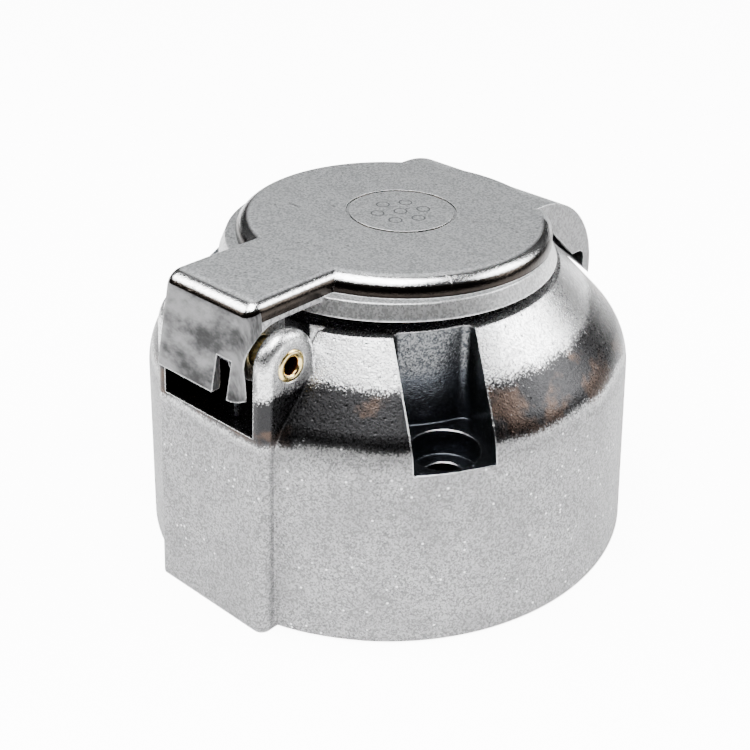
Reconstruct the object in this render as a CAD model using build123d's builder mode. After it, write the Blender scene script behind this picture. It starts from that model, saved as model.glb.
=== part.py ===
from build123d import *
from math import cos, radians, sin, tan
import os

# Seven-pin trailer socket in die-cast aluminium, with a sprung lid.
# Millimetres. The mounting face is Z = 0, the plug's axis is Z, the hinge is at -Y, its pin is along X.

# ---- Housing -----------------------------------------------------------------------------------
base_radius = 36.0          # drum, at the mounting face
wall = 2.6                  # casting wall
wall_draft = 2.4            # degrees that the drum leans in
shoulder_height = 29.3      # where the drum and the dome would meet in a sharp edge
shoulder_fillet = 8.0
mouth_height = 40.8         # rim that the lid closes on
mouth_outer_radius = 24.4   # dome, at the rim
base_round = 0.7            # rounding of the drum's lower edge

# ---- Plug bore ---------------------------------------------------------------------------------
bore_radius = 20.5
bore_wall = 2.4
bore_foot = 12.0            # lower end of the bore's tube, where the insert seats
keyway_width = 4.0
keyway_depth = 1.2

# ---- Mounting screws, three evenly spaced ------------------------------------------------------
mount_count = 3
mount_circle_radius = 29.5
mount_first_angle = -33.0
mount_hole_radius = 2.75    # clearance for M5
mount_head_radius = 4.8
mount_head_depth = 3.8
recess_floor = 26.6
recess_width = 11.0
recess_corner = 1.4
post_radius = 4.7

# ---- Hinge -------------------------------------------------------------------------------------
hinge_box_width = 21.4
hinge_box_front = 36.9      # distance of the box's front from the axis, at the mounting face
hinge_front_draft = 4.0     # degrees that the front leans back
hinge_corner_round = 1.4
slot_width = 17.1           # between the two ears
slot_floor = 30.1
ear_radius = 4.6
pin_height = 39.4
pin_radius = 2.2
pin_bore_radius = 1.3
pin_head_flange = 0.2       # rolled head, beyond the pin
pin_head_height = 0.2
pin_running_clearance = 0.06

# ---- Lid ---------------------------------------------------------------------------------------
lid_slope = 2.2             # degrees that the closed lid leans down towards its lip
lid_seat = 42.2             # lower edge of the skirt, on the plug's axis
skirt_radius = 23.9
skirt_lean = 0.9            # how far the skirt's band leans in over its height
band_height = 2.2
skirt_wall = 2.1
plate_height = 1.2          # underside of the lid's plate, above the skirt's lower edge
slab_radius = 22.5         # raised top, at its foot
slab_offset = 1.3          # the raised top's centre, from the plug's axis towards the lip
slab_height = 2.5
slab_roll = 2.4            # rolled edge of the raised top
neck_width = 16.6
neck_roll = 1.8
lip_width = 26.0
lip_reach = 32.3            # outer face of the lip, from the plug's axis
lip_drop = 16.5             # lowest the lip may reach, below the raised top
lip_roll = 14.0
lip_wall = 1.8
lip_clearance = 1.2         # between the lip and the housing's shoulder
finger_gap_depth = 10.2     # top of the finger gap behind the lip, below the raised top
finger_gap_roll = 1.5
front_flare = 12.0          # degrees that the front plate leans out
front_top = 4.4             # front edge of the top, beyond the pin's axis
front_drop = 3.9            # lower edge of the front plate, below the pin's axis
neck_plate = 2.2            # thickness of the neck's top
front_plate = 1.1
front_roll = 2.6
notch_left = 3.4
rib_wall = 2.1
notch_height = 1.1          # top of the notch, above the pin's axis
rib_clearance = 0.9         # between the ears' round tops and the lid's side ribs
knuckle_inner = 3.3
knuckle_wall = 1.9
knuckle_radius = 4.1
emblem_radius = 7.9
emblem_offset = 2.6
emblem_groove = 0.45
emblem_depth = 0.25
catch_width = 7.0
catch_reach = 18.6
catch_wall = 2.0
catch_drop = 4.6
seal_inner_radius = 19.4
seal_gap = 0.3              # between the closed lid's seal and the rim

# ---- Spring ------------------------------------------------------------------------------------
wire_radius = 0.45
coil_clearance = 0.1        # between the coil and the pin inside it
coil_turns = 5
coil_pitch = 1.0

# ---- Insert, contacts and screws ---------------------------------------------------------------
tower_radius = 16.0
tower_top = 36.6
flange_radius = 24.6
flange_thickness = 3.0
lug_radius = 3.6
insert_screw_circle = 27.2
insert_screw_first_angle = 30.0
insert_screw_radius = 1.45
insert_screw_head_radius = 2.7
insert_screw_head_height = 1.8
insert_screw_length = 10.0
insert_boss_radius = 3.4
contact_circle_radius = 10.8
contact_ring_count = 6
contact_radius = 2.6
contact_bore_radius = 1.6
contact_bore_depth = 20.0
contact_setback = 0.6       # contact's mouth, below the tower's top
contact_collar_radius = 3.4
terminal_radius = 3.1
terminal_foot = 1.6         # lower end of the terminals, above the mounting face
wire_hole_radius = 1.7
wire_hole_depth = 5.2
fit = 0.05                  # clearance of parts pushed into one another
terminal_screw_radius = 1.25
terminal_screw_length = 2.6
terminal_screw_height = 4.4
terminal_screw_proud = 0.5
terminal_slot = 0.4
tower_chamfer = 0.6
contact_collar_height = 1.2
contact_mouth_round = 0.3
contact_slit = 0.4
cross_length = 3.0
cross_width = 0.6
cross_depth = 0.9

# ---- Worked-out places -------------------------------------------------------------------------
bore_outer_radius = bore_radius + bore_wall
shoulder_radius = base_radius - shoulder_height * tan(radians(wall_draft))
front_lean = radians(hinge_front_draft)
pin_y = -hinge_box_front + pin_height * tan(front_lean) + ear_radius / cos(front_lean)
ear_front = (pin_y - ear_radius * cos(front_lean), pin_height + ear_radius * sin(front_lean))
ear_outer = hinge_box_width / 2
pin_head_radius = pin_radius + pin_head_flange
coil_radius = pin_radius + coil_clearance + wire_radius
ear_inner = slot_width / 2
insert_seat = bore_foot - flange_thickness
HINGE = Location((0, pin_y, pin_height))
ALONG_X = (0, 90, 0)        # turns a cylinder to lie along the pin
FROM_FOOT = (Align.CENTER, Align.CENTER, Align.MIN)
FROM_HEAD = (Align.CENTER, Align.CENTER, Align.MAX)

# The closed lid's own plane: its origin is on the plug's axis, at the skirt's lower edge.
lean = radians(lid_slope)
LID = Plane(origin=(0, 0, lid_seat), x_dir=(1, 0, 0), z_dir=(0, sin(lean), cos(lean)))
LID_SECTION = Plane(origin=LID.origin, x_dir=LID.x_dir, z_dir=-LID.y_dir)
LID_SIDE = Plane(origin=LID.origin, x_dir=LID.y_dir, z_dir=LID.x_dir)
pin_local = LID.to_local_coords(Vector(0, pin_y, pin_height))
pin_v = pin_local.Y         # the pin in the lid's plane, along the lid
pin_h = pin_local.Z         # and above the skirt's lower edge
slab_top = band_height + slab_height
skirt_top_radius = skirt_radius - skirt_lean

os.makedirs("parts", exist_ok=True)


def save(piece, name):
    """Label a finished piece and write it as its own STEP file."""
    piece.part.label = name
    export_step(piece.part, f"parts/{name}.step")


def drum_section(foot):
    """Half section of the drum and dome, from the height `foot` to the rim."""
    with BuildSketch(Plane.XZ) as section:
        with BuildLine():
            Polyline(
                (0, foot),
                (base_radius - foot * tan(radians(wall_draft)), foot),
                (shoulder_radius, shoulder_height),
                (mouth_outer_radius, mouth_height),
                (0, mouth_height),
                close=True,
            )
        make_face()
        shoulder = section.vertices().sort_by(Axis.X)[-2]
        fillet(shoulder, shoulder_fillet)
    return section


# ---- Housing: cutters first, then the casting --------------------------------------------------
with BuildPart() as hinge_slot:
    with BuildSketch(Plane.XY.offset(slot_floor)):
        with Locations((0, -base_radius)):
            Rectangle(slot_width, 2 * (base_radius - bore_radius))
        Circle(bore_outer_radius, mode=Mode.SUBTRACT)
    extrude(amount=mouth_height)

with BuildPart() as screw_recess:
    with BuildSketch(Plane.XY.offset(recess_floor)):
        with Locations((base_radius, 0)):
            Rectangle(2 * (base_radius - bore_radius), recess_width)
        Circle(bore_outer_radius, mode=Mode.SUBTRACT)
    extrude(amount=mouth_height)
    inner_corners = screw_recess.edges().filter_by(Axis.Z).sort_by(Axis.X)[:2]
    fillet(inner_corners, recess_corner)

with BuildPart() as cavity:
    hollow = drum_section(-3 * wall)
    with BuildSketch(Plane.XZ) as hollow_section:
        add(hollow.sketch_local)
        offset(amount=-wall, mode=Mode.REPLACE)
    revolve(axis=Axis.Z)
    Cylinder(wall, 2 * mouth_height)
    with Locations((0, 0, bore_foot)):
        Cylinder(
            bore_outer_radius,
            mouth_height,
            align=FROM_FOOT,
            mode=Mode.SUBTRACT,
        )
    with BuildSketch(Plane.XY.offset(recess_floor - mount_head_depth - wall)):
        with PolarLocations(base_radius, mount_count, start_angle=mount_first_angle):
            Rectangle(2 * (base_radius - bore_radius), recess_width + 2 * wall)
    extrude(amount=mouth_height, mode=Mode.SUBTRACT)
    with BuildSketch():
        with PolarLocations(mount_circle_radius, mount_count, start_angle=mount_first_angle):
            Circle(post_radius)
    extrude(amount=mouth_height, mode=Mode.SUBTRACT)
    with BuildSketch(Plane.XY.offset(slot_floor - wall)):
        with Locations((0, -base_radius)):
            Rectangle(hinge_box_width, 2 * (base_radius - bore_radius))
    extrude(amount=mouth_height, mode=Mode.SUBTRACT)
    with BuildSketch(Plane.XY.offset(bore_foot)):
        with PolarLocations(insert_screw_circle, 3, start_angle=insert_screw_first_angle):
            Circle(insert_boss_radius)
    extrude(amount=mouth_height, mode=Mode.SUBTRACT)

with BuildPart() as hinge_box:
    with BuildSketch(Plane.YZ):
        with BuildLine():
            front = Line((-hinge_box_front, 0), ear_front)
            crown = ThreePointArc(ear_front, (pin_y, pin_height + ear_radius), (pin_y + ear_radius, pin_height))
            Polyline(crown @ 1, (pin_y + ear_radius, 0), front @ 0)
        make_face()
    extrude(amount=ear_outer, both=True)
    rounded_edges = hinge_box.edges().filter_by(Axis.X, reverse=True).filter_by(lambda e: e.center().Z > 1)
    fillet(rounded_edges, hinge_corner_round)

with BuildPart() as housing:
    add(drum_section(0).sketch)
    revolve(axis=Axis.Z)
    foot_edge = housing.edges().filter_by(GeomType.CIRCLE).sort_by(Axis.Z)[0]
    fillet(foot_edge, base_round)
    add(hinge_box.part)
    add(cavity.part, mode=Mode.SUBTRACT)
    add(hinge_slot.part, mode=Mode.SUBTRACT)
    with PolarLocations(0, mount_count, start_angle=mount_first_angle):
        add(screw_recess.part, mode=Mode.SUBTRACT)
    with Locations((0, 0, recess_floor)):
        with PolarLocations(mount_circle_radius, mount_count, start_angle=mount_first_angle):
            CounterBoreHole(mount_hole_radius, mount_head_radius, mount_head_depth)
    with Locations((0, 0, mouth_height)):
        Hole(bore_radius)
    with Locations((0, bore_radius, mouth_height)):
        Box(keyway_width, 2 * keyway_depth, 2 * (mouth_height - bore_foot), mode=Mode.SUBTRACT)
    with Locations((0, 0, insert_seat)):
        with PolarLocations(insert_screw_circle, 3, start_angle=insert_screw_first_angle):
            Cylinder(insert_screw_radius, 2 * insert_screw_length, mode=Mode.SUBTRACT)
    with Locations(HINGE):
        Cylinder(pin_radius, 2 * hinge_box_width, rotation=ALONG_X, mode=Mode.SUBTRACT)
save(housing, "housing")


# ---- Lid: its raised top, arm, knuckles and lip, then the whole casting ------------------------
front_v = pin_v - front_top
foot_h = pin_h - front_drop
foot_v = front_v - (slab_top - foot_h) * tan(radians(front_flare))
rib_gap_radius = ear_radius + rib_clearance
rib_inner = neck_width / 2 - rib_wall

with BuildPart() as raised_top:
    with BuildSketch(LID.offset(plate_height)):
        with Locations((0, slab_offset)):
            Circle(slab_radius)
    extrude(amount=slab_top - plate_height)
    top_face = raised_top.faces().sort_by(Axis.Z)[-1]
    fillet(top_face.edges(), slab_roll)
    with BuildSketch(LID):
        Circle(skirt_top_radius)
    extrude(amount=slab_top, mode=Mode.INTERSECT)

with BuildPart() as arm:
    with BuildSketch(LID_SIDE):
        with BuildLine():
            Polyline(
                (0, slab_top),
                (front_v, slab_top),
                (foot_v, foot_h),
                (0, foot_h),
                close=True,
            )
        make_face()
    extrude(amount=neck_width / 2, both=True)
    front_edge = arm.edges().filter_by(Axis.X).sort_by(Axis.Z)[-2:].sort_by(Axis.Y)[0]
    fillet(front_edge, front_roll)
    rolled_edges = (
        arm.edges()
        .filter_by(lambda e: abs(abs(e.center().X) - neck_width / 2) < fit)
        .filter_by(lambda e: e.center().Z > pin_height - front_drop / 2 and e.center().Y < 0)
    )
    fillet(rolled_edges, neck_roll)
    with BuildSketch(LID_SIDE):
        with Locations((pin_v, pin_h)):
            Circle(rib_gap_radius)
            Rectangle(-pin_v, rib_gap_radius, align=(Align.MIN, Align.MIN))
            Rectangle(rib_gap_radius, 2 * front_drop, align=(Align.MAX, Align.MAX))
            Rectangle(-pin_v, 2 * front_drop, align=(Align.MIN, Align.MAX))
    extrude(amount=neck_width, both=True, mode=Mode.SUBTRACT)
    with BuildSketch(LID_SIDE):
        with BuildLine():
            Polyline(
                (front_v + front_plate, slab_top - neck_plate),
                (-skirt_radius, slab_top - neck_plate),
                (-skirt_radius, foot_h - front_plate),
                (foot_v + front_plate, foot_h - front_plate),
                close=True,
            )
        make_face()
    extrude(amount=rib_inner, both=True, mode=Mode.SUBTRACT)
    with BuildSketch(LID_SIDE.offset(notch_left)):
        with Locations((pin_v, pin_h + notch_height)):
            Rectangle(2 * front_drop + 2 * rib_gap_radius, 2 * front_drop, align=(Align.CENTER, Align.MAX))
    extrude(amount=rib_inner - notch_left, mode=Mode.SUBTRACT)

with BuildPart() as knuckles:
    with BuildSketch(LID_SIDE.offset(knuckle_inner)):
        with Locations((pin_v, pin_h)):
            Circle(knuckle_radius)
            Rectangle(2 * knuckle_radius, slab_top - neck_plate / 2 - pin_h, align=(Align.CENTER, Align.MIN))
    extrude(amount=knuckle_wall)
    mirror(about=Plane.YZ)

with BuildPart() as lip:
    with BuildSketch(LID_SIDE):
        with BuildLine():
            Polyline(
                (slab_radius - lip_roll, slab_top),
                (lip_reach, slab_top),
                (lip_reach, slab_top - lip_drop),
                (slab_radius - lip_roll, slab_top - lip_drop),
                close=True,
            )
        make_face()
    extrude(amount=lip_width / 2, both=True)
    outer_edge = lip.edges().filter_by(Axis.X).sort_by(Axis.Z)[-2:].sort_by(Axis.Y)[-1]
    fillet(outer_edge, lip_roll)
    with BuildSketch(LID_SIDE) as finger_gap:
        with Locations((lip_reach - lip_wall, slab_top - finger_gap_depth)):
            Rectangle(lip_reach, lip_drop, align=(Align.MAX, Align.MAX))
        fillet(finger_gap.vertices().sort_by(Axis.X)[-2:].sort_by(Axis.Y)[-1], finger_gap_roll)
    extrude(amount=lip_width, both=True, mode=Mode.SUBTRACT)
    with BuildSketch(LID_SIDE) as pocket:
        with Locations((lip_reach - lip_wall, plate_height)):
            Rectangle(lip_reach, lip_drop + lip_roll, align=(Align.MAX, Align.MAX))
        fillet(pocket.vertices().sort_by(Axis.X)[-2:].sort_by(Axis.Y)[-1], lip_roll - lip_wall)
    extrude(amount=lip_width / 2 - lip_wall, both=True, mode=Mode.SUBTRACT)
    with BuildSketch(Plane.XZ):
        with BuildLine():
            Polyline(
                (0, 0),
                (0, mouth_height + lip_clearance),
                (mouth_outer_radius, mouth_height + lip_clearance),
                (shoulder_radius, shoulder_height + lip_clearance),
                (shoulder_radius, 0),
                close=True,
            )
        make_face()
    revolve(mode=Mode.SUBTRACT)
    with Locations(LID.offset(plate_height)):
        Cylinder(
            skirt_radius,
            2 * lip_drop,
            align=(Align.CENTER, Align.CENTER, Align.MAX),
            mode=Mode.SUBTRACT,
        )

with BuildPart() as lid:
    with BuildSketch(LID_SECTION):
        with BuildLine():
            Polyline(
                (0, plate_height),
                (skirt_radius - skirt_wall, plate_height),
                (skirt_radius - skirt_wall, 0),
                (skirt_radius, 0),
                (skirt_top_radius, band_height),
                (0, band_height),
                close=True,
            )
        make_face()
    revolve(axis=Axis(LID.origin, LID.z_dir))
    add(raised_top.part)
    add(arm.part)
    add(knuckles.part)
    add(lip.part)
    with BuildSketch(LID.offset(slab_top)):
        with Locations((0, emblem_offset)):
            Circle(emblem_radius)
            Circle(emblem_radius - emblem_groove, mode=Mode.SUBTRACT)
    extrude(amount=-emblem_depth, mode=Mode.SUBTRACT)
    with BuildSketch(LID_SIDE):
        with Locations((catch_reach, plate_height)):
            Rectangle(catch_wall, catch_drop, align=(Align.MAX, Align.MAX))
        with Locations((catch_reach - catch_wall, plate_height - catch_drop)):
            Rectangle(catch_wall / 2, catch_wall / 2, align=(Align.MAX, Align.MIN))
    extrude(amount=catch_width / 2, both=True)
    with Locations(HINGE):
        Cylinder(pin_radius + pin_running_clearance, neck_width, rotation=ALONG_X, mode=Mode.SUBTRACT)
save(lid, "lid")


# ---- Seal under the lid ------------------------------------------------------------------------
seal_outer_radius = skirt_radius - skirt_wall
seal_foot = mouth_height + seal_gap - lid_seat + seal_outer_radius * tan(lean)
with BuildPart() as lid_seal:
    with BuildSketch(LID.offset(seal_foot)):
        Circle(seal_outer_radius)
        Circle(seal_inner_radius, mode=Mode.SUBTRACT)
    extrude(amount=plate_height - seal_foot)
save(lid_seal, "lid_seal")

# ---- Hinge pin: a hollow rivet -----------------------------------------------------------------
with BuildPart() as hinge_pin:
    with Locations(HINGE):
        Cylinder(pin_radius, hinge_box_width, rotation=ALONG_X)
        with Locations((-ear_outer - pin_head_height / 2, 0, 0), (ear_outer + pin_head_height / 2, 0, 0)):
            Cylinder(pin_head_radius, pin_head_height, rotation=ALONG_X)
    rims = hinge_pin.edges().filter_by(GeomType.CIRCLE).sort_by(Axis.X)
    fillet([rims[0], rims[-1]], pin_head_height * 0.8)
    with Locations(HINGE):
        Cylinder(pin_bore_radius, 2 * hinge_box_width, rotation=ALONG_X, mode=Mode.SUBTRACT)
save(hinge_pin, "hinge_pin")

# ---- Lid spring: a torsion coil on the pin, one leg up to the lid, one down to the slot's floor -
coil_length = coil_turns * coil_pitch
coil_frame = Plane(origin=(-coil_length / 2, pin_y, pin_height), x_dir=(0, -1, 0), z_dir=(1, 0, 0))
upper_leg = slab_top - neck_plate - pin_h - wire_radius
lower_leg = pin_height - slot_floor - 2 * fit
with BuildPart() as wound_spring:  # its axis along Z, both ends at +X
    with BuildLine() as wire_path:
        coil = Helix(coil_pitch, coil_length, coil_radius)
        upper = Line(coil @ 0 - (coil % 0) * upper_leg, coil @ 0)
        Line(coil @ 1, coil @ 1 + (coil % 1) * lower_leg)
    with BuildSketch(Plane(origin=upper @ 0, z_dir=upper % 0)):
        Circle(wire_radius)
    sweep(path=wire_path.wires()[0], is_frenet=True)

with BuildPart() as lid_spring:
    with Locations(coil_frame):
        add(wound_spring.part)
save(lid_spring, "lid_spring")

# ---- Insert that carries the contacts ----------------------------------------------------------
contact_places = [(0.0, 0.0)]
for i in range(contact_ring_count):
    turn = radians(360 / contact_ring_count * (i + 0.5))
    contact_places.append((contact_circle_radius * cos(turn), contact_circle_radius * sin(turn)))

with BuildPart() as contact_insert:
    with BuildSketch(Plane.XY.offset(insert_seat)):
        Circle(flange_radius)
        with PolarLocations(insert_screw_circle, 3, start_angle=insert_screw_first_angle):
            Circle(lug_radius)
            Rectangle(lug_radius, 2 * lug_radius, align=(Align.MAX, Align.CENTER))
    extrude(amount=flange_thickness)
    with BuildSketch(Plane.XY.offset(bore_foot)):
        Circle(bore_radius - fit)
    extrude(amount=flange_thickness / 2)
    with BuildSketch(Plane.XY.offset(bore_foot)):
        Circle(tower_radius)
    extrude(amount=tower_top - bore_foot)
    chamfer(contact_insert.edges().sort_by(Axis.Z)[-1], tower_chamfer)
    with Locations((0, 0, tower_top)):
        with Locations(*contact_places):
            Hole(contact_radius + fit)
    with Locations((0, 0, bore_foot)):
        with PolarLocations(insert_screw_circle, 3, start_angle=insert_screw_first_angle):
            Hole(insert_screw_radius + 2 * fit)
save(contact_insert, "contact_insert")

# ---- Contacts: a split tube in front, a collar, and a terminal with its grub screw -------------
contact_top = tower_top - contact_setback
collar_foot = insert_seat - contact_collar_height
terminal_screw_outer = terminal_radius + terminal_screw_proud


def outward(heading):
    """Level direction at `heading` degrees from +X."""
    return Vector(cos(radians(heading)), sin(radians(heading)), 0)


def contact(x, y, heading):
    """One contact at (x, y); its terminal screw faces the direction `heading`, in degrees."""
    with BuildPart() as body:
        with Locations((x, y, terminal_foot)):
            Cylinder(terminal_radius, collar_foot - terminal_foot, align=FROM_FOOT)
        with Locations((x, y, collar_foot)):
            Cylinder(contact_collar_radius, contact_collar_height, align=FROM_FOOT)
        with Locations((x, y, insert_seat)):
            Cylinder(contact_radius, contact_top - insert_seat, align=FROM_FOOT)
        fillet(body.edges().sort_by(Axis.Z)[-1], contact_mouth_round)
        with Locations((x, y, contact_top)):
            Hole(contact_bore_radius, contact_bore_depth)
        with Locations(Location((x, y, contact_top), (0, 0, heading))):
            Box(4 * contact_radius, contact_slit, contact_bore_depth, mode=Mode.SUBTRACT)
        with Locations((x, y, terminal_foot)):
            Cylinder(wire_hole_radius, 2 * wire_hole_depth, mode=Mode.SUBTRACT)
        with Locations(Plane(origin=(x, y, terminal_screw_height), z_dir=outward(heading))):
            Cylinder(terminal_screw_radius + fit, terminal_radius + fit, align=FROM_FOOT, mode=Mode.SUBTRACT)
    return body


headings = [0.0] + [360 / contact_ring_count * (i + 0.5) for i in range(contact_ring_count)]
for number, ((x, y), heading) in enumerate(zip(contact_places, headings), start=1):
    save(contact(x, y, heading), f"contact_{number}")

with BuildPart() as terminal_screws:
    for (x, y), heading in zip(contact_places, headings):
        centre = Vector(x, y, terminal_screw_height)
        tip = centre + outward(heading) * (terminal_screw_outer - terminal_screw_length)
        with Locations(Plane(origin=tip, z_dir=outward(heading))):
            Cylinder(terminal_screw_radius, terminal_screw_length, align=FROM_FOOT)
        with Locations(Plane(origin=centre + outward(heading) * terminal_screw_outer, z_dir=outward(heading))):
            Box(terminal_slot, 4 * terminal_screw_radius, 2 * terminal_slot, mode=Mode.SUBTRACT)
save(terminal_screws, "terminal_screws")

# ---- Screws that hold the insert in the housing ------------------------------------------------
with BuildPart() as insert_screws:
    with Locations((0, 0, insert_seat)):
        with PolarLocations(insert_screw_circle, 3, start_angle=insert_screw_first_angle):
            Cylinder(insert_screw_radius - fit, insert_screw_length - fit, align=FROM_FOOT)
            Cylinder(insert_screw_head_radius, insert_screw_head_height, align=FROM_HEAD)
    fillet(insert_screws.edges().group_by(Axis.Z)[0], insert_screw_head_height / 2)
    with Locations((0, 0, insert_seat - insert_screw_head_height)):
        with PolarLocations(insert_screw_circle, 3, start_angle=insert_screw_first_angle):
            Box(cross_length, cross_width, 2 * cross_depth, mode=Mode.SUBTRACT)
            Box(cross_width, cross_length, 2 * cross_depth, mode=Mode.SUBTRACT)
save(insert_screws, "insert_screws")
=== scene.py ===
"""Seven-pin trailer socket: cast aluminium housing with a sprung lid, dressed around its CAD frame."""
from math import cos, pi, radians, sin

import bpy
import numpy as np
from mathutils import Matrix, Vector


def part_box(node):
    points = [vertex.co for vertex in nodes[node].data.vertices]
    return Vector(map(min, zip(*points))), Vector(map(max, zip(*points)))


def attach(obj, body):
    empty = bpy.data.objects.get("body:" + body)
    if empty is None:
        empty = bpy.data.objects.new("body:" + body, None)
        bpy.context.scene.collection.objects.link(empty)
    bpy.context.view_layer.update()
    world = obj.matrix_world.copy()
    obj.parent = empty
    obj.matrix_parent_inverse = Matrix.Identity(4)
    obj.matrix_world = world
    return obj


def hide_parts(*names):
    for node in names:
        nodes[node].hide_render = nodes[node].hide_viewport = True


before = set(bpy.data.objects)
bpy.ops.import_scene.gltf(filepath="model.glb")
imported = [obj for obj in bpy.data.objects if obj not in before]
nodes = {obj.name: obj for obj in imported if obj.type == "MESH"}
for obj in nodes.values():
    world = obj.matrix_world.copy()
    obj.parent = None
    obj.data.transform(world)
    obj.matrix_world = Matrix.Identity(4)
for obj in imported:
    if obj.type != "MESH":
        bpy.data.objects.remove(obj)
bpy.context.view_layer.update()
MM = 0.001

# ---- Places: boxes from the frame, and sizes of the CAD that no box gives -------------------------
pin_low, pin_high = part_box("hinge_pin")
pin_axis = (pin_low + pin_high) / 2
rivet_bore, rivet_rim, rivet_outer = 1.18 * MM, 0.57 * MM, 2.1 * MM

spring_low, spring_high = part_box("lid_spring")
wire_radius = 0.45 * MM
coil_turns = 5
coil_radius = pin_axis.y - spring_low.y - wire_radius
coil_start, coil_end = spring_low.x + wire_radius, spring_high.x - wire_radius

recess_angles = [radians(a) for a in (-33, 87, 207)]
recess_half_width = 5.52 * MM
recess_inner_radius = 22.85 * MM
recess_floor = 26.5 * MM
recess_floor_top = recess_floor + 0.2 * MM
screw_circle = 29.5 * MM
screw_head_radius = 4.9 * MM
rim_top = 40.7 * MM
slot_half_width = 8.56 * MM
slot_back = -22.0 * MM
slot_floor = 30.05 * MM

dome_foot = 30.6 * MM
dark_top = 36.9 * MM            # where the dome's dark zone fades into its bright shoulder
cloud_drift = 3.0 * MM          # how far a zone's edge wanders up and down
recess_light_low, recess_light_high = 33.0 * MM, 36.0 * MM

lid_slope = radians(2.2)
lid_seat, band_rise = 42.2, 2.23
band_top = (lid_seat * cos(lid_slope) + band_rise) * MM
lid_square = (0.0, sin(lid_slope), cos(lid_slope))   # the lid's own upward direction
lip_line = 15.5 * MM
front_line = pin_axis.y - 2.5 * MM
emblem_offset = 2.6 * MM
mark_circle = 3.4 * MM
mark_dot = 0.9 * MM
mark_line_solid, mark_line_gone = 0.05 * MM, 0.16 * MM


# ---- Node tree helpers -------------------------------------------------------------------------
class Wires:
    """Short ways to add and join nodes in one tree."""

    def __init__(self, tree):
        self.tree = tree

    def add(self, kind, **settings):
        node = self.tree.nodes.new(kind)
        for name, value in settings.items():
            setattr(node, name, value)
        return node

    def put(self, socket, value):
        if isinstance(value, bpy.types.NodeSocket):
            self.tree.links.new(value, socket)
        elif value is not None:
            socket.default_value = value

    def math(self, operation, first, second=None, third=None, clamp=False):
        node = self.add("ShaderNodeMath", operation=operation, use_clamp=clamp)
        for socket, value in zip(node.inputs, (first, second, third)):
            self.put(socket, value)
        return node.outputs[0]

    def ramp(self, value, low, high, from_value=0.0, to_value=1.0):
        node = self.add("ShaderNodeMapRange", interpolation_type="SMOOTHSTEP")
        for name, setting in (("Value", value), ("From Min", low), ("From Max", high),
                              ("To Min", from_value), ("To Max", to_value)):
            self.put(node.inputs[name], setting)
        return node.outputs[0]

    def noise(self, vector, scale, detail=2.0, roughness=0.5):
        node = self.add("ShaderNodeTexNoise")
        for name, setting in (("Vector", vector), ("Scale", scale), ("Detail", detail),
                              ("Roughness", roughness)):
            self.put(node.inputs[name], setting)
        return node.outputs["Fac"]

    def times(self, *values):
        product = values[0]
        for value in values[1:]:
            product = self.math("MULTIPLY", product, value)
        return product

    def parts(self, vector):
        """The three numbers of a vector."""
        node = self.add("ShaderNodeSeparateXYZ")
        self.put(node.inputs[0], vector)
        return node.outputs

    def length(self, first, second):
        """The root of the sum of two squares."""
        return self.math("SQRT", self.math("ADD", self.times(first, first), self.times(second, second)))

    def dot(self, first, second):
        node = self.add("ShaderNodeVectorMath", operation="DOT_PRODUCT")
        self.put(node.inputs[0], first)
        self.put(node.inputs[1], second)
        return node.outputs["Value"]

    def cells(self, vector, scale):
        """Irregular cells: the distance from each one's middle, and three numbers of its own."""
        node = self.add("ShaderNodeTexVoronoi", feature="F1")
        self.put(node.inputs["Vector"], vector)
        self.put(node.inputs["Scale"], scale)
        own = self.add("ShaderNodeSeparateColor")
        self.put(own.inputs[0], node.outputs["Color"])
        return node.outputs["Distance"], own.outputs

    def blend(self, share, first, second):
        node = self.add("ShaderNodeMix", data_type="RGBA")
        for socket, value in ((node.inputs[0], share), (node.inputs[6], first),
                              (node.inputs[7], second)):
            self.put(socket, value)
        return node.outputs[2]

    def mix(self, share, first, second):
        node = self.add("ShaderNodeMix", data_type="FLOAT")
        for socket, value in zip(node.inputs[:4], (share, None, first, second)):
            self.put(socket, value)
        return node.outputs[0]

    def group(self, group, **values):
        node = self.add("ShaderNodeGroup", node_tree=group)
        for name, value in values.items():
            self.put(node.inputs[name.replace("_", " ").capitalize()], value)
        return node.outputs


def new_group(name, inputs, outputs):
    """An empty shader group with its sockets; inputs and outputs are (name, kind, value) rows."""
    tree = bpy.data.node_groups.new(name, "ShaderNodeTree")
    for title, kind, value in inputs:
        socket = tree.interface.new_socket(title, in_out="INPUT", socket_type=kind)
        if value is not None:
            socket.default_value = value
    for title, kind in outputs:
        tree.interface.new_socket(title, in_out="OUTPUT", socket_type=kind)
    given, out = tree.nodes.new("NodeGroupInput"), tree.nodes.new("NodeGroupOutput")
    return Wires(tree), given.outputs, out.inputs


FLOAT, VECTOR = "NodeSocketFloat", "NodeSocketVector"


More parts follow.
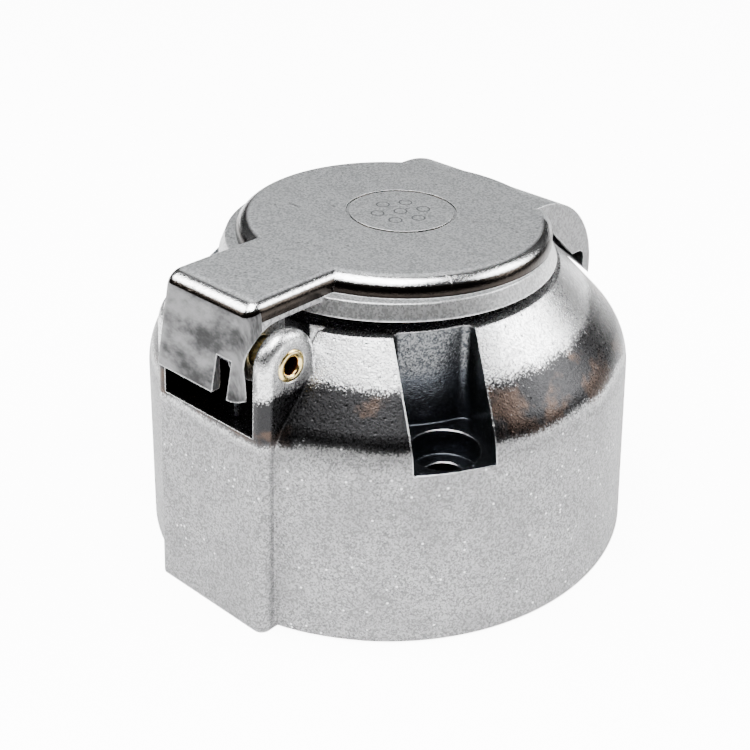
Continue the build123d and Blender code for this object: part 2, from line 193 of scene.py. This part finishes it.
def cast_grain_group():
    """Cast skin: grain for a bump, crystals with painted glint highlights, sparse pits from the mould, and
    broad clouds.

    Sizes are in features per metre. All but the clouds grow with the grain size.
    """
    finest_at_one, coarse_share, crystal_share, pit_cell_share = 1400.0, 0.33, 1.3, 0.30
    clouds_per_metre = 110.0
    pit_edge, pit_middle = 0.26, 0.10
    painted_glint_share = 0.14
    w, given, out = new_group(
        "cast_grain",
        [("Place", VECTOR, None), ("Grain size", FLOAT, 0.5), ("Pit share", FLOAT, 0.5)],
        [(title, FLOAT) for title in ("Height", "Fine", "Speckle", "Painted glints", "Pits", "Cloud")],
    )
    place = given["Place"]
    finest = w.math("DIVIDE", finest_at_one, given["Grain size"])
    fine = w.noise(place, finest, 2.0, 0.7)
    coarse = w.noise(place, w.times(finest, coarse_share), 2.0, 0.5)
    w.put(out["Height"], w.math("ADD", w.times(fine, 0.6), w.times(coarse, 0.4)))
    w.put(out["Fine"], fine)
    facet = w.cells(place, w.times(finest, crystal_share))[1]
    w.put(out["Speckle"], w.ramp(w.mix(0.5, fine, facet[2]), 0.28, 0.72))
    distance, cell = w.cells(place, w.times(finest, pit_cell_share))
    near = w.ramp(distance, pit_middle, pit_edge, 1.0, 0.0)
    w.put(out["Pits"], w.times(near, w.math("LESS_THAN", cell[0], given["Pit share"])))
    w.put(out["Painted glints"], w.times(near, w.math("GREATER_THAN", cell[1], 1.0 - painted_glint_share)))
    w.put(out["Cloud"], w.noise(place, clouds_per_metre, 4.0, 0.6))
    return w.tree


def edge_wear_and_highlight_group():
    """Where the surface turns sharply outwards within a given width: the polished arrises of a casting,
    coloured bright partly as wear and partly as a painted edge highlight.

    A rounded normal that leaves the true one marks an edge. What is shut in close by is an inner
    corner, which nothing rubs, so it is left out.
    """
    turned_clear, turned_none = 0.80, 0.985
    shut_in, open_air = 0.72, 0.95
    reach = 3.0
    w, given, out = new_group(
        "edge_wear_and_highlight",
        [("Width", FLOAT, 0.4 * MM), ("Breakup", FLOAT, 0.5)],
        [("Mask", FLOAT), ("Normal", VECTOR)],
    )
    rounded = w.add("ShaderNodeBevel", samples=4)
    w.put(rounded.inputs["Radius"], given["Width"])
    flat = w.add("ShaderNodeNewGeometry")
    sharp = w.ramp(w.dot(rounded.outputs[0], flat.outputs["Normal"]), turned_clear, turned_none, 1.0, 0.0)
    around = w.add("ShaderNodeAmbientOcclusion", samples=4, only_local=True)
    w.put(around.inputs["Distance"], w.times(given["Width"], reach))
    outward = w.ramp(around.outputs["AO"], shut_in, open_air)
    w.put(out["Mask"], w.math("MULTIPLY", w.times(sharp, outward), given["Breakup"], clamp=True))
    w.put(out["Normal"], rounded.outputs[0])
    return w.tree


def recess_group():
    """1 inside the three screw recesses and the hinge slot, from the place on the socket alone.

    A recess is the space outside the bore's wall and between two planes either side of its angle,
    from its floor to the rim. The counterbore round the screw's head goes on below its floor.
    """
    w, given, out = new_group("hollows", [("Place", VECTOR, None)], [("Recess", FLOAT), ("Slot", FLOAT)])
    x, y, z = w.parts(given["Place"])
    walls = w.times(w.math("GREATER_THAN", z, recess_floor), w.math("LESS_THAN", z, rim_top))
    outside = w.math("GREATER_THAN", w.length(x, y), recess_inner_radius)
    below = w.math("LESS_THAN", z, recess_floor_top)
    total = None
    for angle in recess_angles:
        along = w.math("ADD", w.times(x, cos(angle)), w.times(y, sin(angle)))
        across = w.math("SUBTRACT", w.times(y, cos(angle)), w.times(x, sin(angle)))
        between = w.math("LESS_THAN", w.math("ABSOLUTE", across), recess_half_width)
        inside = w.times(between, w.math("GREATER_THAN", along, 0.0), outside, walls)
        from_screw = w.length(w.math("SUBTRACT", along, screw_circle), across)
        bored = w.math("LESS_THAN", from_screw, screw_head_radius)
        inside = w.math("MAXIMUM", inside, w.times(bored, below))
        total = inside if total is None else w.math("MAXIMUM", total, inside)
    w.put(out["Recess"], total)
    in_slot = w.times(w.math("LESS_THAN", w.math("ABSOLUTE", x), slot_half_width),
                      w.math("LESS_THAN", y, slot_back))
    w.put(out["Slot"], w.times(in_slot, w.math("GREATER_THAN", z, slot_floor)))
    return w.tree


def struck_mark_group():
    """A plain struck mark: a ring round the middle and one round each of six places about it.

    The bearing is folded into one sixth of a half turn, so that one outer ring's distance serves for six.
    """
    rings = 6
    w, given, out = new_group("struck_mark", [("Place", VECTOR, None)], [("Line", FLOAT)])
    place = w.parts(given["Place"])
    x, y = place[0], w.math("SUBTRACT", place[1], emblem_offset)
    from_middle = w.length(x, y)
    bearing = w.math("PINGPONG", w.math("ADD", w.math("ARCTAN2", y, x), pi), pi / rings)
    away = w.math("SUBTRACT", w.times(from_middle, w.math("COSINE", bearing)), mark_circle)
    aside = w.times(from_middle, w.math("SINE", bearing))
    nearest = w.math("MINIMUM", w.length(away, aside), from_middle)
    from_line = w.math("ABSOLUTE", w.math("SUBTRACT", nearest, mark_dot))
    w.put(out["Line"], w.ramp(from_line, mark_line_solid, mark_line_gone, 1.0, 0.0))
    return w.tree


CAST_GRAIN = cast_grain_group()
STRUCK_MARK = struck_mark_group()
EDGE_WEAR_AND_HIGHLIGHT = edge_wear_and_highlight_group()
HOLLOWS = recess_group()


def begin(name, metallic):
    """A material with one Principled shader, and the place on the object for its patterns."""
    material = bpy.data.materials.new(name)
    material.use_nodes = True
    w = Wires(material.node_tree)
    shader = w.tree.nodes["Principled BSDF"]
    shader.inputs["Metallic"].default_value = metallic
    place = w.add("ShaderNodeTexCoord").outputs["Object"]
    return material, w, shader, place


def finish(w, shader, colour, roughness, height, strength, depth, normal=None):
    """Joins a colour, a roughness and a bump of that depth to the shader."""
    w.put(shader.inputs["Base Color"], colour)
    w.put(shader.inputs["Roughness"], roughness)
    node = w.add("ShaderNodeBump")
    settings = (("Height", height), ("Strength", strength), ("Distance", depth), ("Normal", normal))
    for name, value in settings:
        w.put(node.inputs[name], value)
    w.put(shader.inputs["Normal"], node.outputs[0])


def drum_colour(w, grain):
    """Matte grey drum: crystals in two tones, cloudy duller patches, painted glint highlights and dark pits.
    """
    dull, bright = (0.17, 0.17, 0.172, 1), (0.40, 0.40, 0.405, 1)
    painted_glint, pit = (0.90, 0.90, 0.91, 1), (0.14, 0.14, 0.145, 1)
    patches = w.times(w.ramp(grain["Cloud"], 0.38, 0.68), 0.4)
    colour = w.blend(grain["Speckle"], dull, bright)
    colour = w.blend(patches, colour, dull)
    # Painted highlight: bright specks on a few crystals stand in for light glinting off them.
    colour = w.blend(grain["Painted glints"], colour, painted_glint)
    return w.blend(grain["Pits"], colour, pit)


def dome_colour(w, grain, uneven, bearing):
    """Bright dome with a painted dark reflection above its foot: a speckled band of painted shade, deeper on
    three sides of it.
    """
    dull, bright = (0.46, 0.46, 0.465, 1), (0.86, 0.865, 0.87, 1)
    dome_shade_black, painted_shade_brown = (0.026, 0.026, 0.027, 1), (0.062, 0.045, 0.037, 1)
    sides, turned_by, shallowest = 3.0, 4.7, 0.74
    depth = w.times(w.ramp(uneven, dome_foot - 0.9 * MM, dome_foot + 1.9 * MM),
                    w.ramp(uneven, dark_top + 1.8 * MM, dark_top - 1.6 * MM))
    around = w.math("SINE", w.math("MULTIPLY_ADD", bearing, sides, turned_by))
    lobes = w.ramp(around, -0.7, 0.6, shallowest, 1.0)
    broken = w.times(w.math("SUBTRACT", 0.5, grain["Fine"]), 2.4)
    # Painted shade: the dark band on the dome is a painted dark reflection, deeper in three lobes round it.
    dark = w.ramp(w.math("ADD", w.times(depth, lobes, 1.9), broken), 0.25, 1.0)
    painted_dark_zone = w.blend(w.ramp(grain["Cloud"], 0.56, 0.66), dome_shade_black, painted_shade_brown)
    return w.blend(dark, w.blend(grain["Speckle"], dull, bright), painted_dark_zone)


def recess_shade_colour(w, grain, height):
    """Dark blue-grey painted shade in a recess, lighter and rougher at the top of its back wall."""
    low_dull, low_bright = (0.060, 0.067, 0.079, 1), (0.115, 0.125, 0.14, 1)
    top_dull, top_bright = (0.035, 0.038, 0.043, 1), (0.17, 0.175, 0.18, 1)
    return w.blend(w.ramp(height, recess_light_low, recess_light_high),
                   w.blend(grain["Speckle"], low_dull, low_bright),
                   w.blend(grain["Speckle"], top_dull, top_bright))


def cast_housing():
    """Die-cast aluminium: matte grained drum with painted glint highlights, tumbled bright dome with a
    painted dark reflection, glossy screw recesses and hinge slot in painted shade, and edges partly worn,
    partly painted highlight.
    """
    slot_painted_shadow, worn_highlit_colour = (0.012, 0.012, 0.013, 1), (0.93, 0.935, 0.945, 1)
    drum_rough, dome_rough, dome_glossy, recess_rough, worn_rough = 0.50, 0.34, 0.22, 0.24, 0.25
    pit_depth = 0.8
    material, w, shader, place = begin("cast_housing", 1.0)
    grain = w.group(CAST_GRAIN, Place=place, Grain_size=0.38, Pit_share=0.24)
    broken = w.ramp(grain["Speckle"], 0.0, 0.8, 0.8, 1.0)
    wear_and_highlight = w.group(EDGE_WEAR_AND_HIGHLIGHT, Width=0.38 * MM, Breakup=broken)
    hollow = w.group(HOLLOWS, Place=place)
    x, y, z = w.parts(place)
    uneven = w.math("MULTIPLY_ADD", grain["Cloud"], cloud_drift, z)
    dome = w.ramp(uneven, dome_foot - 1.2 * MM, dome_foot + 1.4 * MM)
    bearing = w.math("ARCTAN2", y, x)
    colour = w.blend(dome, drum_colour(w, grain), dome_colour(w, grain, uneven, bearing))
    # Painted shade: the screw recesses and counterbores are coloured dark.
    colour = w.blend(hollow["Recess"], colour, recess_shade_colour(w, grain, z))
    # Painted shadow: the hinge slot is coloured near black.
    colour = w.blend(hollow["Slot"], colour, slot_painted_shadow)
    worn_and_highlit = w.times(wear_and_highlight["Mask"], w.math("SUBTRACT", 1.0, hollow["Slot"]))
    # Bright edges: partly wear, partly a painted edge highlight.
    colour = w.blend(worn_and_highlit, colour, worn_highlit_colour)
    rough = w.mix(dome, drum_rough, w.mix(grain["Speckle"], dome_rough, dome_glossy))
    rough = w.mix(hollow["Recess"], rough, recess_rough)
    rough = w.mix(wear_and_highlight["Mask"], rough, worn_rough)
    height = w.math("SUBTRACT", grain["Height"], w.times(grain["Pits"], pit_depth))
    finish(w, shader, colour, rough, height, 0.55, 0.12 * MM, wear_and_highlight["Normal"])
    return material


def lid_top_colour(w, grain, scuffs):
    """Satin top: cool speckle under warmer clouds, bright scuffs and a few pits."""
    dull, bright = (0.36, 0.375, 0.39, 1), (0.74, 0.755, 0.77, 1)
    warm, scuffed, pit = (0.64, 0.64, 0.63, 1), (0.97, 0.975, 0.98, 1), (0.25, 0.255, 0.26, 1)
    colour = w.blend(grain["Speckle"], dull, bright)
    colour = w.blend(w.times(grain["Cloud"], 0.35), colour, warm)
    colour = w.blend(w.times(scuffs, 0.8), colour, scuffed)
    return w.blend(grain["Pits"], colour, pit)


def lid_bead_colour(w, grain, tilt, above_band):
    """Polished bead round the raised top, its bright tone partly a painted highlight, with a painted dark
    reflection in the groove under it.
    """
    dull, bright = (0.70, 0.705, 0.71, 1), (0.96, 0.965, 0.97, 1)
    reflection_black, reflection_brown = (0.010, 0.010, 0.010, 1), (0.05, 0.04, 0.033, 1)
    groove_starts, groove_full = 0.78, 0.62
    uneven = w.math("ADD", tilt, w.times(grain["Fine"], 0.12))
    # Painted dark reflection on the lower part of the bead's roll, found by its tilt.
    groove = w.times(w.ramp(uneven, groove_starts, groove_full), above_band)
    # The roll's bright tone is partly polish, partly a painted highlight.
    polished = w.blend(w.ramp(grain["Speckle"], 0.2, 0.9), dull, bright)
    return w.blend(groove, polished, w.blend(grain["Cloud"], reflection_black, reflection_brown))


def lid_side_colour(w, grain, behind, at_front, smeared):
    """Grained band and sides: painted shade under the lip, and streaked on the plate at the front."""
    dull, bright = (0.24, 0.24, 0.243, 1), (0.52, 0.52, 0.525, 1)
    lip_shade, pit = (0.10, 0.10, 0.102, 1), (0.14, 0.14, 0.145, 1)
    streak_dark, streak_light = (0.045, 0.045, 0.046, 1), (0.27, 0.27, 0.274, 1)
    streaks = w.ramp(w.noise(smeared, 150.0, 4.0, 0.7), 0.32, 0.68)
    colour = w.blend(grain["Speckle"], dull, bright)
    # Painted shade: the sides behind the lip line are darkened.
    colour = w.blend(w.times(behind, 0.62), colour, lip_shade)
    colour = w.blend(grain["Pits"], colour, pit)
    return w.blend(at_front, colour, w.blend(streaks, streak_dark, streak_light))


def cast_lid():
    """Die-cast aluminium lid: satin top with fine scuffs and a struck mark, polished bead with painted
    highlight and painted dark reflection, painted shade under the lip, and edges partly worn, partly painted
    highlight.
    """
    mark_grey, worn_highlit_colour = (0.16, 0.165, 0.17, 1), (0.94, 0.945, 0.95, 1)
    top_rough, scuff_rough, bead_rough, side_rough = 0.50, 0.28, 0.18, 0.50
    top_height, mark_depth = 0.35, 0.4
    scuff_turn, scuff_stretch = radians(35), 5.5
    material, w, shader, place = begin("cast_lid", 1.0)
    grain = w.group(CAST_GRAIN, Place=place, Grain_size=0.45, Pit_share=0.05)
    broken = w.ramp(grain["Speckle"], 0.0, 0.8, 0.5, 1.0)
    wear_and_highlight = w.group(EDGE_WEAR_AND_HIGHLIGHT, Width=0.3 * MM, Breakup=broken)
    # Zones of the lid: how squarely a face looks up, how high it is above the band, and how far along
    tilt = w.dot(w.add("ShaderNodeTexCoord").outputs["Normal"], lid_square)
    above_band = w.math("GREATER_THAN", w.dot(place, lid_square), band_top)
    along = w.parts(place)[1]
    behind = w.math("GREATER_THAN", along, lip_line)
    at_front = w.math("LESS_THAN", along, front_line)
    lip_top = w.times(behind, w.ramp(tilt, 0.45, 0.60))
    top = w.math("MAXIMUM", w.ramp(tilt, 0.90, 0.99), lip_top)
    plain_side = w.math("MAXIMUM", w.math("SUBTRACT", 1.0, above_band), w.math("MAXIMUM", behind, at_front))
    side = w.times(w.ramp(tilt, 0.42, 0.34), plain_side)
    turned = w.add("ShaderNodeMapping")
    w.put(turned.inputs["Vector"], place)
    turned.inputs["Rotation"].default_value = (0, 0, scuff_turn)
    turned.inputs["Scale"].default_value = (1.0, scuff_stretch, 1.0)
    smeared = turned.outputs[0]
    scuffs = w.times(w.ramp(w.noise(smeared, 420.0, 2.0, 0.6), 0.63, 0.69),
                     w.ramp(w.noise(place, 160.0, 3.0, 0.6), 0.50, 0.60))
    under = w.blend(side, lid_bead_colour(w, grain, tilt, above_band),
                    lid_side_colour(w, grain, behind, at_front, smeared))
    colour = w.blend(top, under, lid_top_colour(w, grain, scuffs))
    mark = w.times(w.group(STRUCK_MARK, Place=place)["Line"], top)
    colour = w.blend(mark, colour, mark_grey)
    # Bright edges: partly wear, partly a painted edge highlight.
    colour = w.blend(wear_and_highlight["Mask"], colour, worn_highlit_colour)
    rough = w.mix(top, w.mix(side, bead_rough, side_rough), w.mix(scuffs, top_rough, scuff_rough))
    height = w.math("SUBTRACT", w.times(grain["Height"], w.mix(top, 1.0, top_height)),
                    w.times(w.math("ADD", scuffs, mark), mark_depth))
    finish(w, shader, colour, rough, height, 0.5, 0.1 * MM, wear_and_highlight["Normal"])
    return material


def plain_metal(name, light, dark, roughness, grain_size):
    """A small metal part: two tones over its grain, an uneven polish and a little tarnished tone."""
    material, w, shader, place = begin(name, 1.0)
    grain = w.group(CAST_GRAIN, Place=place, Grain_size=grain_size, Pit_share=0.05)
    colour = w.blend(w.ramp(grain["Cloud"], 0.35, 0.65), dark, light)
    rough = w.mix(grain["Speckle"], roughness, roughness + 0.12)
    finish(w, shader, colour, rough, grain["Height"], 0.25, 0.05 * MM)
    return material


def moulded(name, light, dark, roughness, grain_size):
    """Rubber or moulded plastic: a dusty two-tone skin with a fine texture."""
    material, w, shader, place = begin(name, 0.0)
    grain = w.group(CAST_GRAIN, Place=place, Grain_size=grain_size, Pit_share=0.0)
    colour = w.blend(grain["Cloud"], dark, light)
    rough = w.mix(grain["Cloud"], roughness - 0.08, roughness + 0.08)
    finish(w, shader, colour, rough, grain["Height"], 0.35, 0.06 * MM)
    return material


def rivet_brass():
    """Yellow brass, rolled bright at the rim, with painted brown shade down the bore."""
    dull, bright, painted_shade_brown = (0.80, 0.60, 0.20, 1), (0.98, 0.82, 0.42, 1), (0.34, 0.15, 0.055, 1)
    rough, polished = 0.26, 0.18
    material, w, shader, place = begin("rivet_brass", 1.0)
    grain = w.group(CAST_GRAIN, Place=place, Grain_size=0.4, Pit_share=0.05)
    _, y, z = w.parts(place)
    radius = w.length(w.math("SUBTRACT", z, pin_axis.z), w.math("SUBTRACT", y, pin_axis.y))
    bore_shade = w.ramp(radius, rivet_bore + 0.12 * MM, rivet_bore + 0.02 * MM)
    # Painted shade: the bore is coloured dark brown for the shade deep inside it.
    colour = w.blend(bore_shade, w.blend(grain["Speckle"], dull, bright), painted_shade_brown)
    finish(w, shader, colour, w.mix(grain["Speckle"], rough, polished), grain["Height"], 0.2, 0.05 * MM)
    return material


# ---- New pieces --------------------------------------------------------------------------------
def piece_of(name, points, faces, material, body):
    """A smooth mesh that rides with a body."""
    mesh = bpy.data.meshes.new(name)
    mesh.from_pydata(points.tolist(), [], faces)
    mesh.shade_smooth()
    mesh.materials.append(material)
    piece = bpy.data.objects.new(name, mesh)
    bpy.context.scene.collection.objects.link(piece)
    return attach(piece, body)


def closed_surface(name, rows, material, body):
    """A closed mesh from a grid of points, rows x columns x 3, that meets itself both ways round.

    Its faces are turned outwards by the sign of its volume.
    """
    count, across, _ = rows.shape
    at = np.arange(count * across).reshape(count, across)
    beside, below = np.roll(at, -1, axis=1), np.roll(at, -1, axis=0)
    quads = np.stack([at, beside, np.roll(beside, -1, axis=0), below], axis=-1).reshape(-1, 4)
    points = rows.reshape(-1, 3)
    first, second, third = (points[quads[:, k]] for k in range(3))
    if np.einsum("ij,ij->", first, np.cross(second, third)) < 0:
        quads = quads[:, ::-1]
    return piece_of(name, points, quads.tolist(), material, body)


def hinge_rivet(material):
    """A hollow rivet: one closed profile, of place along X and radius, turned about the pin's axis.

    The profile is a straight tube. Each end rolls outwards from the bore in a half circle:
    x = end + rim * sin(t), radius = bore + rim * (1 - cos(t)), for t from 0 to pi.
    """
    rim_points, round_points = 13, 64
    end = pin_high.x - rivet_rim
    turn = np.linspace(0, pi, rim_points)
    head_x = end + rivet_rim * np.sin(turn)
    head_r = rivet_bore + rivet_rim * (1 - np.cos(turn))
    along = np.concatenate([head_x, [end - rivet_rim / 4, rivet_rim / 4 - end], -head_x[::-1]])
    radius = np.concatenate([head_r, [rivet_outer, rivet_outer], head_r[::-1]])
    around = np.linspace(0, 2 * pi, round_points, endpoint=False)
    rows = np.stack([
        np.repeat(along[:, None], around.size, 1),
        pin_axis.y + radius[:, None] * np.cos(around),
        pin_axis.z + radius[:, None] * np.sin(around),
    ], axis=-1)
    return closed_surface("hollow_rivet", rows, material, "socket")


def capped_tube(name, path, outward, along, material, body):
    """Round wire: a ring of wire_radius about each point of a path, closed by a flat face at each end.

    A ring's points are place + wire_radius * (outward * cos(a) + sideways * sin(a)), where sideways is
    the cross product of the path's direction and outward.
    """
    sides = 16
    sideways = np.cross(along, outward)
    turn = np.linspace(0, 2 * pi, sides, endpoint=False)[None, :, None]
    rings = path[:, None] + wire_radius * (outward[:, None] * np.cos(turn) + sideways[:, None] * np.sin(turn))
    at = np.arange(len(path) * sides).reshape(len(path), sides)
    beside = np.roll(at, -1, axis=1)
    quads = np.stack([at[:-1], beside[:-1], beside[1:], at[1:]], axis=-1).reshape(-1, 4)
    ends = [at[0, ::-1].tolist(), at[-1].tolist()]
    return piece_of(name, rings.reshape(-1, 3), quads.tolist() + ends, material, body)


def sprung_coil(material):
    """The coil on the pin: x = start + climb * t, and about the pin's axis a circle of coil_radius.

    It ends in a straight leg down to the slot's floor, and it rides with the socket.
    """
    points_a_turn = 32
    turn = np.linspace(0, 2 * pi * coil_turns, points_a_turn * coil_turns + 1)
    climb = (coil_end - coil_start) / turn[-1]
    outward = np.stack([0 * turn, -np.cos(turn), -np.sin(turn)], axis=-1)
    middle = np.stack([coil_start + climb * turn, pin_axis.y + 0 * turn, pin_axis.z + 0 * turn], axis=-1)
    along = np.stack([climb + 0 * turn, coil_radius * np.sin(turn), -coil_radius * np.cos(turn)], axis=-1)
    along /= np.linalg.norm(along, axis=1, keepdims=True)
    foot = (coil_end, pin_axis.y - coil_radius, spring_low.z)
    path = np.vstack([middle + coil_radius * outward, foot])
    outward = np.vstack([outward, outward[-1]])
    along = np.vstack([along, (0, 0, -1)])
    return capped_tube("spring_coil", path, outward, along, material, "socket")


def lid_leg(material):
    """The coil's straight upper leg, from its first turn up to the lid's plate: it rides with the lid."""
    heights = np.linspace(spring_high.z, pin_axis.z, 5)
    path = np.stack([coil_start + 0 * heights, pin_axis.y - coil_radius + 0 * heights, heights], axis=-1)
    outward = np.tile((0.0, -1.0, 0.0), (len(heights), 1))
    along = np.tile((0.0, 0.0, -1.0), (len(heights), 1))
    return capped_tube("spring_lid_leg", path, outward, along, material, "lid")


def dress(node, material):
    """Gives a CAD node its finish."""
    mesh = nodes[node].data
    mesh.materials.clear()
    mesh.materials.append(material)


# ---- Finishes on their pieces ------------------------------------------------------------------
brass = rivet_brass()
contact_brass = plain_metal("contact_brass", (0.90, 0.72, 0.38, 1), (0.70, 0.52, 0.24, 1), 0.26, 0.4)
spring_wire = plain_metal("spring_wire", (0.50, 0.51, 0.53, 1), (0.30, 0.31, 0.33, 1), 0.26, 0.3)
plated = plain_metal("plated_screw", (0.78, 0.77, 0.70, 1), (0.58, 0.57, 0.52, 1), 0.28, 0.4)
rubber = moulded("seal_rubber", (0.030, 0.030, 0.031, 1), (0.014, 0.014, 0.015, 1), 0.66, 0.5)
plastic = moulded("insert_plastic", (0.034, 0.035, 0.037, 1), (0.017, 0.018, 0.019, 1), 0.42, 0.5)

dress("housing", cast_housing())
dress("lid", cast_lid())
for piece in (sprung_coil(spring_wire), lid_leg(spring_wire)):
    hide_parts("lid_spring")
dress("lid_seal", rubber)
dress("contact_insert", plastic)
for number in range(1, 8):
    dress(f"contact_{number}", contact_brass)
dress("terminal_screws", plated)
dress("insert_screws", plated)
rivet = hinge_rivet(brass)
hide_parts("hinge_pin")


# ---- Studio ------------------------------------------------------------------------------------
def pale_floor():
    """A wide pale floor that shows whiter than the light it gives back to the part."""
    half, pale, roughness = 40.0, (0.93, 0.93, 0.93, 1), 0.9
    glow_on_part, glow_in_view = 0.65, 10.0
    mesh = bpy.data.meshes.new("floor")
    corners = [(-half, -half, 0), (half, -half, 0), (half, half, 0), (-half, half, 0)]
    mesh.from_pydata(corners, [], [(0, 1, 2, 3)])
    floor = bpy.data.objects.new("floor", mesh)
    bpy.context.scene.collection.objects.link(floor)
    material = bpy.data.materials.new("pale_floor")
    material.use_nodes = True
    w = Wires(material.node_tree)
    shader = w.tree.nodes["Principled BSDF"]
    shader.inputs["Base Color"].default_value = pale
    shader.inputs["Roughness"].default_value = roughness
    shader.inputs["Emission Color"].default_value = (1, 1, 1, 1)
    seen = w.add("ShaderNodeLightPath").outputs["Is Camera Ray"]
    w.put(shader.inputs["Emission Strength"], w.mix(seen, glow_on_part, glow_in_view))
    mesh.materials.append(material)


def bearing_from(azimuth, elevation):
    """The direction out from the part, for degrees round from -Y towards +X and degrees up."""
    a, e = radians(azimuth), radians(elevation)
    return Vector((sin(a) * cos(e), -cos(a) * cos(e), sin(e)))


def hang(name, data, aim, back, distance):
    """A light or a camera that stands off from a point and faces it."""
    holder = bpy.data.objects.new(name, data)
    holder.location = aim + back * distance
    holder.rotation_mode = "QUATERNION"
    holder.rotation_quaternion = (-back).to_track_quat("-Z", "Y")
    bpy.context.scene.collection.objects.link(holder)
    return holder


def soft_light(name, azimuth, elevation, distance, size, watts):
    """A square softbox that hangs at that bearing from the part and faces it."""
    lamp = bpy.data.lights.new(name, "AREA")
    lamp.shape = "SQUARE"
    lamp.size = size
    lamp.energy = watts
    hang(name, lamp, Vector((0, 0, 0.02)), bearing_from(azimuth, elevation), distance)


def studio_room():
    """A room that is dim near the horizon and bright overhead, as a light tent's open front is."""
    dim_below, bright_above = 0.15, 0.85
    dim, bright = 0.22, 1.15
    world = bpy.data.worlds.new("room")
    world.use_nodes = True
    w = Wires(world.node_tree)
    up = w.parts(w.add("ShaderNodeTexCoord").outputs["Generated"])[2]
    strength = w.mix(w.ramp(up, dim_below, bright_above), dim, bright)
    w.put(world.node_tree.nodes["Background"].inputs["Strength"], strength)
    bpy.context.scene.world = world


def stand_camera():
    """A long lens, a little above the lid, off the hinge's corner."""
    data = bpy.data.cameras.new("camera")
    data.lens = 66.8
    data.sensor_width = 36.0
    data.clip_start, data.clip_end = 0.01, 100.0
    aim = Vector((-2.22, -0.31, 20.19)) * MM
    bpy.context.scene.camera = hang("camera", data, aim, bearing_from(42.9, 30.67), 210 * MM)


pale_floor()
studio_room()
soft_light("overhead_softbox", 20, 78, 0.55, 0.40, 9.0)
soft_light("right_softbox", 138, 34, 0.60, 0.34, 4.8)
soft_light("left_softbox", -50, 40, 0.60, 0.30, 4.0)
stand_camera()
